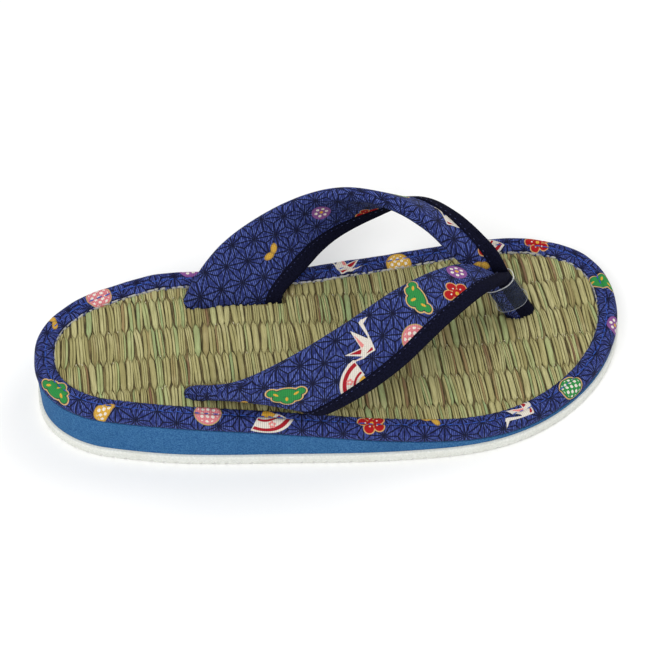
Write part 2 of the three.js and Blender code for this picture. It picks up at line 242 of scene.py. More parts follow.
def shell(name, tubes, material, uv=None, floats=None, closed=False, sharp=50):
    """A mesh from tubes of sections: (tubes, sections, points round, 3) in millimetres.

    A single tube may leave out the first axis. Each section is joined to the next, and each
    closed tube's last section to its first. Open tubes get flat ends. uv holds each face's start
    and its end round the section, as two arrays (sections + closed, points round, 2) for a single
    tube. floats are attributes of the points. Edges over sharp degrees stay sharp.
    """
    tubes = tubes.reshape(-1, *tubes.shape[-3:])
    count, rows, around = tubes.shape[:3]
    spans = rows if closed else rows - 1
    t, i, j = np.meshgrid(np.arange(count), np.arange(spans), np.arange(around), indexing="ij")
    corners = [(t * rows + (i + di) % rows) * around + (j + dj) % around
               for di, dj in ((0, 0), (1, 0), (1, 1), (0, 1))]
    quads = np.stack(corners, axis=-1).reshape(-1, 4)
    loops = quads.ravel()
    starts = np.arange(len(quads)) * 4
    if not closed:
        first = (np.arange(count) * rows * around)[:, None]
        ends = np.vstack([first + np.arange(around), first + rows * around - 1 - np.arange(around)])
        starts = np.concatenate([starts, len(loops) + np.arange(len(ends)) * around])
        loops = np.concatenate([loops, ends.ravel()])
    points = (tubes.reshape(-1, 3) + SHIFT) * MM
    a, b, c = (points[quads[:, k]] for k in range(3))
    centre = points.mean(axis=0)
    order = np.arange(len(loops))
    # A negative volume shows that the faces point inwards, and each is then run the other way
    if np.einsum("ij,ij->", a - centre, np.cross(b - centre, c - centre)) < 0:
        sizes = np.diff(np.append(starts, len(loops)))
        size = np.repeat(sizes, sizes)
        first = np.repeat(starts, sizes)
        order = first + (size - order + first) % size
    mesh = bpy.data.meshes.new(name)
    mesh.vertices.add(len(points))
    mesh.vertices.foreach_set("co", points.astype(np.float32).ravel())
    mesh.loops.add(len(loops))
    mesh.loops.foreach_set("vertex_index", loops[order].astype(np.int32))
    mesh.polygons.add(len(starts))
    mesh.polygons.foreach_set("loop_start", starts.astype(np.int32))
    mesh.update(calc_edges=True)
    mesh.shade_smooth()
    mesh.set_sharp_from_angle(angle=np.radians(sharp))
    if uv is not None:
        start, end = uv
        values = np.zeros((len(loops), 2))
        face_corners = np.stack([start[:-1], start[1:], end[1:], end[:-1]], axis=2)
        values[:len(quads) * 4] = face_corners.reshape(-1, 2)
        mesh.uv_layers.new(name="cloth").data.foreach_set("uv", values[order].astype(np.float32).ravel())
    for key, value in (floats or {}).items():
        layer = mesh.attributes.new(key, "FLOAT", "POINT")
        layer.data.foreach_set("value", np.broadcast_to(value, tubes.shape[:3]).astype(np.float32).ravel())
    mesh.materials.append(material)
    return put(name, mesh)


# Materials


def colour(code, alpha=1.0):
    """sRGB hex to the linear values that the shader wants."""
    parts = [int(code[i:i + 2], 16) / 255 for i in (1, 3, 5)]
    return (*(c / 12.92 if c <= 0.04045 else ((c + 0.055) / 1.055) ** 2.4 for c in parts), alpha)


def new_material(name):
    material = bpy.data.materials.new(name)
    material.use_nodes = True
    material.node_tree.nodes.clear()
    return material


def add(skin, kind, inputs=(), **settings):
    """Adds one node with its settings to a material. A node or a socket in inputs is linked, and
    a hex colour or another value is set."""
    tree = skin.node_tree
    node = tree.nodes.new("ShaderNode" + kind)
    for key, value in settings.items():
        setattr(node, key, value)
    for key, value in dict(inputs).items():
        if isinstance(value, bpy.types.Node):
            value = next(socket for socket in value.outputs if not socket.is_unavailable)
        if isinstance(value, bpy.types.NodeSocket):
            tree.links.new(value, node.inputs[key])
        else:
            node.inputs[key].default_value = colour(value) if isinstance(value, str) else value
    return node


SMOOTH = {"interpolation_type": "SMOOTHSTEP"}
COLOURS = {"data_type": "RGBA"}


def finish(skin, base, roughness, bump=None, specular=0.5, **constants):
    """Principled surface with a base colour, a roughness and an optional (height, mm) bump."""
    inputs = {"Base Color": base, "Roughness": roughness, "Specular IOR Level": specular, **constants}
    if bump:
        height, depth = bump
        inputs["Normal"] = add(skin, "Bump", {"Height": height, "Distance": depth * MM, "Strength": 1.0})
    surface = add(skin, "BsdfPrincipled", inputs)
    add(skin, "OutputMaterial", {"Surface": surface})
    return skin


def grain(skin, size, detail=2.0, stretch=(1, 1, 1)):
    """Cells about size mm across, fixed to the object, as a height from 0 to 1."""
    place = add(skin, "TexCoord").outputs["Object"]
    scaled = add(skin, "Mapping", {"Vector": place, "Scale": [s / (size * MM) for s in stretch]})
    return add(skin, "TexNoise", {"Vector": scaled, "Scale": 1.0, "Detail": detail})


def lay_over(skin, height, none, full, under, over, most=1.0):
    """One colour laid over another: not at all at the height none, most of it at the height full."""
    reach = {"Value": height, "From Min": none, "From Max": full, "To Max": most}
    share = add(skin, "MapRange", reach, **SMOOTH)
    return add(skin, "Mix", {0: share, 6: under, 7: over}, **COLOURS)


# Hemp leaf ground: stars on a triangular lattice of inked lines 0.6 mm wide, a little uneven
STAR_PITCH = 9.4
LINE_HALF = 0.29
LINE_SOFT = 0.2
LINE_WOBBLE = 0.6
STAR_THIN = 0.14
STAR_FADE = 1.2
LINE_INK = "#060720"


def hemp_leaf(skin, place):
    """Distance in millimetres from a place on the cloth to the edge of a line, negative in it.

    The lattice's triangles have their edges drawn, and a line from each middle to each corner.
    In each of three turned frames one set of edges lies across u and one set of those lines
    lies along u. Lines thin towards each corner, where twelve of them run together.
    """
    high = STAR_PITCH * np.sqrt(3) / 2
    reach = STAR_PITCH / np.sqrt(3)
    lines = []
    for turn in np.radians([0, 60, 120]):
        axes = (np.cos(turn), np.sin(turn), 0), (-np.sin(turn), np.cos(turn), 0)
        u, v = (add(skin, "VectorMath", {0: place, 1: axis}, operation="DOT_PRODUCT") for axis in axes)
        lines.append(add(skin, "Math", {0: u, 1: high / 2}, operation="PINGPONG"))
        spans = (u, high), (v, STAR_PITCH / 2)
        near = [add(skin, "Math", {0: w, 1: span}, operation="PINGPONG") for w, span in spans]
        far = [add(skin, "Math", {0: span, 1: w}, operation="SUBTRACT") for w, (_, span) in zip(near, spans)]
        for du, dv in (near, far):
            past = add(skin, "Math", {0: du, 1: reach}, operation="SUBTRACT")
            lines.append(add(skin, "Math", {0: dv, 1: past}, operation="MAXIMUM"))
    nearest = lines[0]
    for line in lines[1:]:
        nearest = add(skin, "Math", {0: nearest, 1: line}, operation="MINIMUM")
    flat = [add(skin, "CombineXYZ", {0: du, 1: dv}) for du, dv in (near, far)]
    from_corners = [add(skin, "VectorMath", {0: vector}, operation="LENGTH") for vector in flat]
    corner = add(skin, "Math", dict(enumerate(from_corners)), operation="MINIMUM")
    faded = add(skin, "Math", {0: corner, 1: -STAR_FADE}, operation="DIVIDE")
    fade = add(skin, "Math", {0: faded}, operation="EXPONENT")
    half = add(skin, "Math", {0: fade, 1: -STAR_THIN, 2: LINE_HALF}, operation="MULTIPLY_ADD")
    return add(skin, "Math", {0: nearest, 1: half}, operation="SUBTRACT")


# Colours of the print: the attribute with its signed distance, the distance at which the colour
# starts, and the colour. Later rows lie over earlier ones.
PRINT_COLOURS = [
    ("green", 0.0, "#CBAA6C"),
    ("green", -0.5, "#1B2440"),
    ("green", -0.75, "#2C8742"),
    ("red", 0.0, "#CBA068"),
    ("red", -0.45, "#A81419"),
    ("pink", 0.0, "#B39866"),
    ("pink", -0.4, "#CF7A80"),
    ("yellow", 0.0, "#A8843C"),
    ("yellow", -0.4, "#CDA040"),
    ("purple", 0.0, "#84508E"),
    ("white", 0.0, "#D9D2C6"),
    ("white_mark", 0.0, "#E2DBD0"),
    ("red_mark", 0.0, "#9E1A26"),
    ("pink_mark", 0.0, "#DC8480"),
    ("gold_mark", 0.0, "#D6A43A"),
]
PRINT_LAYERS = sorted({name for name, _, _ in PRINT_COLOURS})
EDGE_SOFT = 0.09
# Threads are 0.4 mm apart on the cloth, and twice as coarse here so that they show. Raised warp
# floats get pale dashes, a painted highlight. A weave has the weft's axis and the dashes' scale,
# by the axis across the warp.
THREAD_PITCH = 0.8
DASH_WIDE = 0.9
DASH_LONG = 2.4
WEAVES = {
    "X": ("Y", (1 / DASH_WIDE, 1 / DASH_LONG, 1)),
    "Y": ("X", (1 / DASH_LONG, 1 / DASH_WIDE, 1)),
}
# Scales of the dye's patches and of the lines' drift, to a millimetre of cloth
DYE_SCALE = 0.8
DRIFT_SCALE = 0.7
# Size of the tufts along the raw edge
RAW_TUFT = 1.6


def printed_cotton(name, petal_dark, petal_light, thread, warp_across):
    """Screen printed dobby cotton: matt, crisp colour edges, and raised floats of the warp, which
    lie side by side along the cloth's axis warp_across, with a painted highlight on them."""
    skin = new_material(name)
    place = add(skin, "UVMap", uv_map="cloth")
    # Bands of a wave texture lie pi tenths of a unit apart at scale 1
    scale = np.pi / (10 * THREAD_PITCH)
    weft_across, dash = WEAVES[warp_across]
    warp = add(skin, "TexWave", {"Vector": place, "Scale": scale}, bands_direction=warp_across)
    weft = add(skin, "TexWave", {"Vector": place, "Scale": scale}, bands_direction=weft_across)
    weave = add(skin, "Math", {0: warp.outputs["Fac"], 1: weft.outputs["Fac"]}, operation="MULTIPLY")
    dye = add(skin, "TexNoise", {"Vector": place, "Scale": DYE_SCALE, "Detail": 2.0})
    petal = lay_over(skin, dye, 0.35, 0.65, petal_dark, petal_light)
    drawn = add(skin, "Mapping", {"Vector": place, "Scale": dash})
    raised = add(skin, "TexNoise", {"Vector": drawn, "Scale": 1.0, "Detail": 1.0})
    floats = add(skin, "MapRange", {"Value": raised, "From Min": 0.42, "From Max": 0.58}, **SMOOTH)
    rise = {"Value": warp.outputs["Fac"], "From Min": 0.35, "From Max": 0.8}
    ridge = add(skin, "MapRange", rise, **SMOOTH)
    # Painted highlight: the raised warp floats get the pale thread colour
    float_highlight = add(skin, "Math", {0: floats, 1: ridge}, operation="MULTIPLY")
    petal = add(skin, "Mix", {0: float_highlight, 6: petal, 7: thread}, **COLOURS)
    drift = add(skin, "TexNoise", {"Vector": place, "Scale": DRIFT_SCALE, "Detail": 2.0}).outputs["Color"]
    moved = add(skin, "VectorMath", {0: drift, 1: (LINE_WOBBLE, LINE_WOBBLE, 0), 2: place},
                operation="MULTIPLY_ADD")
    surface = lay_over(skin, hemp_leaf(skin, moved), LINE_SOFT, -LINE_SOFT, petal, LINE_INK)
    for layer, start, code in PRINT_COLOURS:
        distance = add(skin, "Attribute", attribute_name=layer).outputs["Fac"]
        surface = lay_over(skin, distance, start + EDGE_SOFT, start - EDGE_SOFT, surface, code)
    shade = add(skin, "MapRange", {"Value": ridge, "To Min": 0.8, "To Max": 1.06})
    surface = add(skin, "Mix", {0: 1.0, 6: surface, 7: shade}, blend_type="MULTIPLY", **COLOURS)
    raw = add(skin, "Attribute", attribute_name="raw_edge").outputs["Fac"]
    frayed = add(skin, "Math", {0: raw, 1: grain(skin, RAW_TUFT)}, operation="MULTIPLY")
    surface = lay_over(skin, frayed, 0.4, 0.58, surface, "#B9B8B6")
    return finish(skin, surface, 0.88, bump=(weave, 0.12), specular=0.2)


def navy_tape():
    """Brushed navy cotton tape: nearly black, with a short soft pile and no gloss."""
    skin = new_material("brushed_navy_tape")
    pile = grain(skin, 0.5, 3.0)
    base = lay_over(skin, pile, 0.3, 0.7, "#080915", "#141528")
    return finish(skin, base, 0.95, bump=(pile, 0.15), specular=0.04)


def sponge_foam():
    """Skived EVA sponge, blue: matt, open cut cells that show as a fine speckle."""
    skin = new_material("blue_sponge_foam")
    cells = grain(skin, 0.6, 3.0)
    base = lay_over(skin, cells, 0.35, 0.66, "#215083", "#3E719E")
    base = lay_over(skin, grain(skin, 9.0), 0.3, 0.75, base, "#24557F", most=0.3)
    return finish(skin, base, 0.92, bump=(cells, 0.14), specular=0.15)


def moulded_rubber():
    """Moulded foam rubber, off white: a close skin with a faint mottle and patches of dust."""
    skin = new_material("white_foam_rubber")
    cells = grain(skin, 0.8, 3.0)
    base = lay_over(skin, cells, 0.3, 0.7, "#D2D4CC", "#E2E3DD")
    base = lay_over(skin, grain(skin, 14.0, 3.0), 0.45, 0.8, base, "#CBCABD", most=0.35)
    return finish(skin, base, 0.7, bump=(cells, 0.06), specular=0.35)


# Tones of rush, from brown through straw to green
RUSH_TONES = [
    (0.0, "#734F3C"), (0.08, "#987C56"), (0.2, "#978F5C"), (0.45, "#AFA873"), (0.7, "#BAB481"),
    (0.85, "#A3AE76"), (1.0, "#92A774"),
]


def rush_stem():
    """Dried rush: waxy unsplit stems, each its own straw, olive or green, streaked lengthwise; painted shade
    darkens their undersides and tips.
    """
    skin = new_material("dried_rush")
    tone = add(skin, "Attribute", attribute_name="tone").outputs["Fac"]
    low = add(skin, "Attribute", attribute_name="low").outputs["Fac"]
    ramp = add(skin, "ValToRGB", {"Fac": tone})
    while len(ramp.color_ramp.elements) < len(RUSH_TONES):
        ramp.color_ramp.elements.new(0.5)
    for element, (at, code) in zip(ramp.color_ramp.elements, RUSH_TONES):
        element.position = at
        element.color = colour(code)
    fibre = grain(skin, 0.4, 3.0, stretch=(1, 0.06, 1))
    base = lay_over(skin, fibre, 0.65, 0.35, ramp, "#767045", most=0.55)
    base = lay_over(skin, grain(skin, 4.0, stretch=(1, 0.4, 1)), 0.52, 0.8, base, "#C4BC8E", most=0.4)
    # Painted shade: dark olive on each stem's lower side and towards its tips, where it sinks between its
    # neighbours
    base = add(skin, "Mix", {0: low, 6: base, 7: "#4E4628"}, **COLOURS)
    return finish(skin, base, 0.62, bump=(fibre, 0.12), specular=0.3)


def mat_core():
    """Shadowed stems that pass under the ribs: brown straw, streaked lengthwise."""
    skin = new_material("rush_core")
    straw = grain(skin, 0.5, 3.0, stretch=(1, 0.08, 1))
    base = lay_over(skin, straw, 0.35, 0.65, "#443A22", "#82744A")
    return finish(skin, base, 0.95, bump=(straw, 0.3))


def sewing_thread(name, dark, light):
    """Twisted thread, polyester in the seams and hemp in the mat: a slight gloss, mottled by the
    twist."""
    skin = new_material(name)
    twist = grain(skin, 0.35)
    return finish(skin, lay_over(skin, twist, 0.35, 0.65, dark, light), 0.55, bump=(twist, 0.05))


def clear_vinyl():
    """Soft clear PVC tube: see-through, its outside veiled by the vinyl's haze together with painted
    reflection, its cut ends painted white as a highlight.
    """
    skin = new_material("clear_vinyl")
    rim = add(skin, "Attribute", attribute_name="painted_end_highlight").outputs["Fac"]
    outside = add(skin, "Attribute", attribute_name="haze_and_painted_reflection").outputs["Fac"]
    # Painted highlight: the cut ends turn white and more opaque; elsewhere the tube is grey-blue
    base = add(skin, "Mix", {0: rim, 6: "#525D78", 7: "#F4F6F8"}, **COLOURS)
    # The vinyl's haze with painted reflection: a mottled grey-blue veil on the outer wall only
    haze_alpha = {"From Min": 0.3, "From Max": 0.7, "To Min": 0.16, "To Max": 0.24}
    veil = add(skin, "MapRange", {"Value": grain(skin, 3.0), **haze_alpha}, **SMOOTH)
    haze_reflection = add(skin, "Math", {0: veil, 1: outside}, operation="MULTIPLY")
    ends = add(skin, "Math", {0: rim, 1: 0.6}, operation="MULTIPLY")
    alpha = add(skin, "Math", {0: haze_reflection, 1: ends}, operation="MAXIMUM")
    return finish(skin, base, 0.2, Alpha=alpha, IOR=1.53)


# Figures of the print, as signed distances in millimetres, negative inside


def turned(x, y, turn):
    """Coordinates in axes turned by an angle in degrees."""
    c, s = np.cos(np.radians(turn)), np.sin(np.radians(turn))
    return x * c + y * s, y * c - x * s


def ellipse(x, y, cx, cy, a, b, turn=0.0):
    """Distance to a turned ellipse, scaled from its unit circle."""
    u, v = turned(x - cx, y - cy, turn)
    return (np.hypot(u / a, v / b) - 1) * min(a, b)


def petals(x, y, count, reach, radius, turn=0.0):
    """Distance to equal discs set round the middle."""
    step = 2 * np.pi / count
    angle = (np.arctan2(y, x) - np.radians(turn)) % step - step / 2
    far = np.hypot(x, y)
    return np.hypot(far * np.cos(angle) - reach, far * np.sin(angle)) - radius


def spots(x, y, pitch, radius):
    """Distance to discs on a square lattice with every second row moved by half a pitch."""
    row = np.round(y / (pitch / 2))
    shifted = x - (row % 2) * pitch / 2
    return np.hypot(shifted - np.round(shifted / pitch) * pitch, y - row * pitch / 2) - radius


def facet(x, y, corners):
    """Distance to a convex facet, its corners anticlockwise: the largest of its edges' distances."""
    corners = np.array(corners)
    ahead = unit(np.roll(corners, -1, axis=0) - corners)
    return np.max([(x - cx) * ay - (y - cy) * ax for (cx, cy), (ax, ay) in zip(corners, ahead)], axis=0)


def pine(x, y):
    """Pine crown: a flat cloud of five lobes on a broad base, with needle sprays in gold."""
    lobes = [(-5.4, -1.4, 2.7, 2.3), (-3.0, 1.2, 3.0, 2.5), (0.6, 2.6, 3.2, 2.7), (3.8, 0.9, 3.0, 2.5),
             (5.8, -1.5, 2.6, 2.2), (0.1, -1.2, 5.6, 2.5)]
    crown = np.min([ellipse(x, y, *lobe) for lobe in lobes], axis=0)
    sprays = [(-3.9, -0.6, 1.2, 0.5, 35), (4.0, -0.7, 1.2, 0.5, -35), (0.3, 1.9, 0.55, 1.2)]
    return {"green": crown, "gold_mark": np.min([ellipse(x, y, *spray) for spray in sprays], axis=0)}


def blossom(x, y):
    """Plum blossom: five round petals, a gold heart and white stamens."""
    red = np.minimum(petals(x, y, 5, 3.6, 2.4, 90), np.hypot(x, y) - 2.3)
    return {"red": red, "gold_mark": np.hypot(x, y) - 0.8, "white_mark": petals(x, y, 5, 2.6, 0.4, 90)}


def ball(layer):
    """Thread ball with a scatter of white spots."""
    def draw(x, y):
        disc = np.hypot(x, y) - 5.6
        return {layer: disc, "white_mark": np.maximum(disc + 1.1, spots(x, y, 3.0, 0.75))}
    return draw


def half_moon(x, y):
    """Gold half round with white spots."""
    disc = np.maximum(np.hypot(x, y + 1.5) - 6.2, -1.5 - y)
    return {"yellow": disc, "white_mark": np.maximum(disc + 1.1, spots(x, y, 3.0, 0.8))}


def fan(x, y):
    """Folding fan: a white leaf with two red bands and a gold rivet end."""
    far = np.hypot(x, y + 6)
    angle = np.abs(np.arctan2(x, y + 6))
    leaf = np.maximum(np.maximum(far - 12.5, 4.8 - far), (angle - 0.82) * far)
    sticks = np.maximum(far - 5.0, (angle - 0.72) * far)
    bands = np.minimum(np.abs(far - 10.6) - 0.8, np.abs(far - 6.6) - 0.5)
    spot = np.maximum(leaf + 0.6, petals(x, y - 2.6, 5, 1.0, 0.55))
    return {"white": leaf, "red_mark": np.maximum(leaf + 0.3, bands), "gold_mark": sticks, "pink_mark": spot}


# A folded crane: its white facets, and the folds that lie in the shade
CRANE_FACETS = [
    [(-3.6, -0.6), (0.4, -4.4), (4.6, -0.6), (0.6, 1.4)],
    [(-2.8, -0.4), (2.2, 0.2), (-3.4, 7.8)],
    [(0.6, 0.4), (4.2, -0.4), (6.0, 6.4)],
    [(-4.4, 0.2), (-0.8, -3.4), (-7.2, 5.4), (-9.0, 5.0)],
    [(-11.4, 2.4), (-7.4, 3.6), (-7.2, 5.6)],
    [(1.6, -3.2), (4.8, -1.2), (9.8, 5.0)],
]
CRANE_PINK = [[(-0.2, 0.6), (1.5, 0.7), (-2.7, 6.4)], [(4.0, -1.0), (5.0, -0.4), (8.6, 3.6)]]
CRANE_RED = [[(1.6, 0.9), (3.6, 0.4), (5.2, 5.0)], [(-0.6, -2.7), (0.5, -3.6), (2.9, -1.3)]]


def paper_crane(x, y):
    """Folded paper crane: body, two raised wings, neck with a bent beak, and a tail."""
    white, pink, red = (np.min([facet(x, y, corners) for corners in facets], axis=0)
                        for facets in (CRANE_FACETS, CRANE_PINK, CRANE_RED))
    return {"white": white, "pink_mark": pink, "red_mark": red}


def small_flowers(x, y):
    """Purple round with a white six-petal flower."""
    return {"purple": np.hypot(x, y) - 4.3, "white_mark": petals(x, y, 6, 2.4, 0.75),
            "gold_mark": np.hypot(x, y) - 0.85}


def sprout(x, y):
    """A pair of small gold leaves."""
    leaves = np.minimum(ellipse(x, y, -1.9, 0, 2.4, 1.4, 25), ellipse(x, y, 1.9, 0, 2.4, 1.4, -25))
    return {"yellow": leaves}


FAR_AWAY = 20.0


def paint(places, figures):
    """Signed distance to each print colour at places (..., 2). figures are (draw, centre, turn)."""
    layers = {name: np.full(places.shape[:-1], FAR_AWAY) for name in PRINT_LAYERS}
    for draw, centre, turn in figures:
        here = turned(places[..., 0] - centre[0], places[..., 1] - centre[1], turn)
        for name, distance in draw(*here).items():
            layers[name] = np.minimum(layers[name], distance)
    return layers


# Sole


# Outsole's edge from its foot up: inset from the flare, share of the grooves' depth, and height
OUTSOLE_TOP = OUTSOLE_THICK - GAP / 2
OUTSOLE_EDGE = [
    (1.0, 1, 0.0), (0.35, 1, 0.15), (0.05, 1, 0.5), (0.0, 0.6, 1.1), (0.0, 0, OUTSOLE_TOP - 1.2),
    (0.1, 0, OUTSOLE_TOP - 0.5), (0.35, 0, OUTSOLE_TOP - 0.12), (0.8, 0, OUTSOLE_TOP),
]
# Midsole's side from its foot up: inset and share of the height. Its sides are a little hollow.
MIDSOLE_SIDE = [(0.0, 0.0), (0.05, 0.3), (0.05, 0.7)]


def sole_layer(name, stations, levels, material):
    """A layer of the sole as sections across the foot. levels are (inset, height at stations)."""
    outer, inner = [], []
    for inset, height in levels:
        x, low_y, high_y = sides(inset, stations)
        z = height + 0 * stations
        outer.append(np.column_stack([x, low_y, z]))
        inner.append(np.column_stack([x, high_y, z]))
    return shell(name, np.stack(outer + inner[::-1], axis=1), material)


def groove(x):
    """Depth of the tread's cross grooves: each falls by a smooth step over 0.45 of its width."""
    off = np.abs(x % TREAD_PITCH - TREAD_PITCH / 2)
    return TREAD_DEPTH * ease((TREAD_GROOVE / 2 - off) / (TREAD_GROOVE * 0.45))


def outsole():
    """Rubber under the foam, its edges rounded, with nine sections more at every groove."""
    ends = bunched(260) * (LENGTH + 2 * OUTSOLE_FLARE) - OUTSOLE_FLARE
    middles = np.arange(TREAD_PITCH / 2, LENGTH, TREAD_PITCH)
    grooves = middles[:, None] + np.linspace(-1, 1, 9) * TREAD_GROOVE / 2
    stations = np.unique(np.round(np.concatenate([ends, grooves.ravel()]), 3))
    levels = [(inset - OUTSOLE_FLARE, share * groove(stations) + height)
              for inset, share, height in OUTSOLE_EDGE]
    return sole_layer("outsole_rubber", stations, levels, moulded_rubber())


def midsole():
    """Foam wedge from the outsole up to the footbed."""
    stations = bunched(420) * LENGTH
    bottom, top = OUTSOLE_THICK + GAP / 2, foam_top(stations)
    levels = [(inset, mix(bottom, top, share)) for inset, share in MIDSOLE_SIDE]
    return sole_layer("midsole_foam", stations, levels + [(0.0, top - GAP / 2)], sponge_foam())


# Rim
RIM_COLUMNS = 1240
RIM_POINTS = 46
RIM_STITCH_PITCH = 3.6
# Unevenness along the roll: height, length to a radian, and shift
RIM_WAVES = [(0.16, 11.0, 0), (0.12, 4.3, 1), (0.06, 1.9, 0)]
# Puckers: height, width of the strip, and how they slant across it
PUCKER_HIGH = 0.2
PUCKER_WIDE = 1.4
PUCKER_SLANT = 0.8
# The roll's top and its strip by the mat start at these heights
ROLL_TOP = 4.2
STRIP_TOP = 3.8
# The cloth's raw edge shows past this inset and under this height
RAW_INSET = 7.85
RAW_TOP = 5.0
RIM_FIGURES = [
    pine, half_moon, ball("pink"), fan, blossom, sprout, paper_crane, ball("green"), small_flowers,
    pine, blossom, fan, ball("yellow"), paper_crane, half_moon, small_flowers, ball("pink"), sprout,
]
# Places across the cloth, taken in turn, and how the figures are turned and moved to and fro
RIM_FIGURE_ROWS = [7.5, 5.5, 10.0, 8.5, 10.5, 13.0, 9.5]
RIM_FIGURE_TURN = 67
RIM_FIGURE_MOVE = 4


def rim_path():
    """The roll's profile as a smooth curve at even steps, and the distance along the cloth."""
    profile = spline(RIM_ROLL, np.linspace(0, 1, 400))
    length = lengths(profile)
    at = np.linspace(0, length[-1], RIM_POINTS)
    return np.column_stack([np.interp(at, length, profile[:, k]) for k in (0, 1)]), at


def on_rim(points, inward, inset, up):
    """A place on the rim: the outline moved inward, and up over the foam there."""
    flat = points + inset[..., None] * inward
    return np.concatenate([flat, (foam_top(flat[..., 0]) + up)[..., None]], axis=-1)


def rim():
    """Cloth over the roll, puckered by its stitches and a little uneven all the way round.

    The profile is carried round the outline. Three sines along it move the roll in and up, and a
    slanting cosine, one wave to a stitch, puckers the strip between the stitches and the mat.
    """
    points, inward, perimeter = even_ring(RIM_COLUMNS)
    profile, cloth = rim_path()
    at = (np.arange(RIM_COLUMNS) / RIM_COLUMNS * perimeter)[:, None]
    wave = sum(high * np.sin(at / reach + shift) for high, reach, shift in RIM_WAVES)
    inset = np.broadcast_to(profile[:, 0], (RIM_COLUMNS, RIM_POINTS))
    up = np.broadcast_to(profile[:, 1], inset.shape)
    past = inset - RIM_STITCH_INWARD
    strip = ease((past + PUCKER_WIDE) / PUCKER_WIDE) * ease(up - STRIP_TOP)
    slant = at / RIM_STITCH_PITCH * 2 * np.pi + 0.7 * np.sin(at / 9.0) + past * PUCKER_SLANT
    pucker = PUCKER_HIGH * np.cos(slant) * strip * (0.7 + 0.3 * np.sin(at / 6.1))
    top = ease((up - ROLL_TOP) / 0.8)
    roll = np.sin(np.pi * np.clip(up / RIM_ROLL[:, 1].max(), 0, 1))
    grid = on_rim(points[:, None, :], inward[:, None, :], inset - 0.5 * wave * roll,
                  up + pucker + 0.9 * wave * top)
    stars = round(perimeter / STAR_PITCH)
    along = np.append(at, perimeter) / perimeter * stars * STAR_PITCH
    uv = np.stack(np.broadcast_arrays(along[:, None], np.append(cloth, cloth[-1])[None]), axis=-1)
    spacing = along[-1] / len(RIM_FIGURES)
    figures = []
    for k, draw in enumerate(RIM_FIGURES):
        middle = (k + 0.5) * spacing + RIM_FIGURE_MOVE * (-1) ** k
        row = RIM_FIGURE_ROWS[k % len(RIM_FIGURE_ROWS)]
        figures.append((draw, (middle, row), RIM_FIGURE_TURN * k))
    layers = paint(uv[:-1, :-1], figures)
    layers["raw_edge"] = ease((inset - RAW_INSET) / 0.2) * ease((RAW_TOP - up) / 0.15)
    cotton = printed_cotton("printed_cotton_rim", "#222B66", "#2D3877", "#4E5FA4", "X")
    return shell("rim_cloth", grid, cotton, uv=(uv[:, :-1], uv[:, 1:]), floats=layers, closed=True)


def stitches(name, middles, along, up, material, long, radius, sink=0.15):
    """Thread bumps: a hexagon carried along each stitch on a low arch that dives at both ends.

    q runs from -1 to 1 along a stitch. The arch falls with q squared, and the thread thins as the
    root of 1 less nearly q to the fourth.
    """
    along = unit(along)
    up = unit(up - along * np.sum(up * along, axis=-1, keepdims=True))
    side = np.cross(along, up)
    q = np.linspace(-1, 1, 7)
    thin = radius * np.sqrt(1 - 0.96 * q ** 4)
    sink = np.broadcast_to(sink, len(middles))[:, None]
    lift = radius * 1.1 * (1 - q ** 2) - sink
    turn = np.arange(6) / 6 * 2 * np.pi
    centre = middles[:, None] + along[:, None] * (q * long / 2)[:, None] + up[:, None] * lift[..., None]
    spokes = side[:, None, None] * np.cos(turn)[:, None] + up[:, None, None] * np.sin(turn)[:, None]
    return shell(name, centre[:, :, None] + spokes * thin[:, None, None], material, sharp=180)


def rim_stitches():
    """Machine stitches along the groove, some of them pulled down into the cloth."""
    count = int(even_ring(100)[2] / RIM_STITCH_PITCH)
    points, inward, _ = even_ring(count * 4)
    line = on_rim(points, inward, np.full(count * 4, RIM_STITCH_INWARD), RIM_STITCH_UP + 0 * points[:, 0])
    ahead = (np.roll(line, -1, axis=0) - np.roll(line, 1, axis=0))[2::4]
    ahead = ahead + inward[2::4, [0, 1, 1]] * [1, 1, 0] * random.normal(0, 0.25, (count, 1))
    thread = sewing_thread("blue_thread", "#10348C", "#2156BC")
    return stitches("rim_stitches", line[2::4], ahead, UPWARD, thread, long=2.9, radius=0.25,
                    sink=random.uniform(0.0, 0.28, count))


# Straps. The hemp leaf ground's turn on each face of each arm.
ARM_STATIONS = 350
GROUND_TURN = {(-1, "upper"): 18.0, (-1, "lower"): 8.0, (1, "upper"): -14.0, (1, "lower"): 14.0}
# The tape's width on the cloth. The fold is wider on the lower face.
TAPE_UPPER = 5.8
TAPE_LOWER = 7.5
TAPE_POST = 6.0


def arm_edges(rows, side):
    """Control points of the rear and of the front edge, down to the foot of the post."""
    down = POST_TOP + POST_AXIS * np.array(POST_DEPTHS)[:, None]
    across = [0.0, side * POST_THICK / 4, 0.0]
    rear, front = np.swapaxes(rows, 0, 1)
    return [np.vstack([edge, down + POST_FRONT * forward + across])
            for edge, forward in ((rear, BEAD_RADIUS - POST_WIDE / 2), (front, POST_WIDE / 2))]


def arm_frame(rows, side):
    """The band at even steps of its middle line: edges, directions, width and share in the post."""
    rear, front = arm_edges(rows, side)
    fine = np.linspace(0, 1, 1200)
    length = lengths((spline(rear, fine) + spline(front, fine)) / 2)
    t = np.interp(np.linspace(0, length[-1], ARM_STATIONS), length, fine)
    step = 1e-4
    ahead, behind = np.minimum(t + step, 1), np.maximum(t - step, 0)
    tangent = unit(sum(unit(spline(edge, ahead) - spline(edge, behind)) for edge in (rear, front)))
    back = spline(rear, t)
    reach = spline(front, t) - back
    width = np.linalg.norm(reach, axis=1)
    across = reach / width[:, None]
    turn = (len(rows) - 1) / (len(rear) - 1)
    post = len(rows) / (len(rear) - 1)
    return {"side": side, "rear": back, "across": across, "width": width, "tangent": tangent,
            "face": unit(np.cross(across, tangent) * -side), "length": length[-1],
            "post": ease((t - turn) / (post - turn))}


